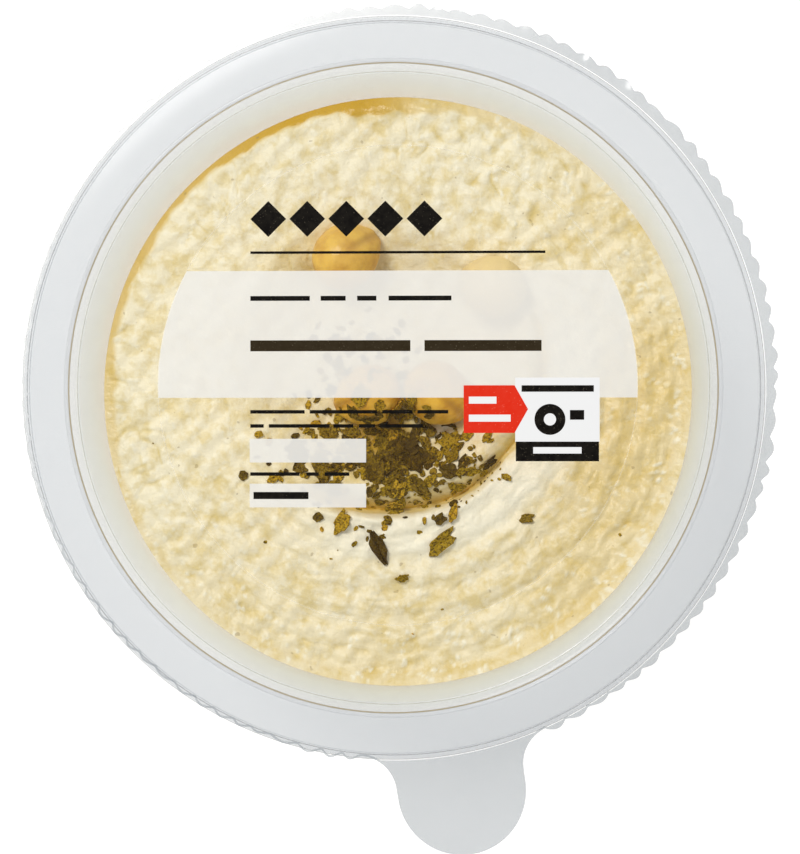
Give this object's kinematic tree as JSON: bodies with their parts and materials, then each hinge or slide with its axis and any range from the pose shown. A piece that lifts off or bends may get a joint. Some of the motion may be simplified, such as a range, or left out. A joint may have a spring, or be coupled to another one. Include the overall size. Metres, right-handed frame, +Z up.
{
  "type": "tub of hummus",
  "caption": "Round clear plastic tub of hummus with whole chickpeas and chopped herbs in a spooned well, shut by a clear printed peel film with a scalloped edge and a tear tab.",
  "frame": {"origin": "centre of the tub's flat base, on the surface it stands on", "axes": "+Z up through the tub's middle; the tear tab is towards -Y, nine degrees over to +X; +X is to the right when the tub is seen from above with the tab at the bottom"},
  "size_m": [0.118, 0.1322, 0.0444],
  "materials": {
    "clear_tub": "slightly hazy clear polypropylene, smooth and glossy",
    "hummus": "moist grainy chickpea paste with a faint oil sheen, stood in by matte plastic",
    "chickpea": "cooked chickpea skin, moist and golden, stood in by matte plastic",
    "peel_film": "thin clear lidding film, glossy, with fields of white, black and red ink"
  },
  "bodies": {
    "root": {"tub": "clear_tub", "hummus": "hummus", "chickpea_1": "chickpea", "chickpea_2": "chickpea", "chickpea_3": "chickpea", "chickpea_4": "chickpea", "lid_film": "peel_film"}
  },
  "joints": []
}
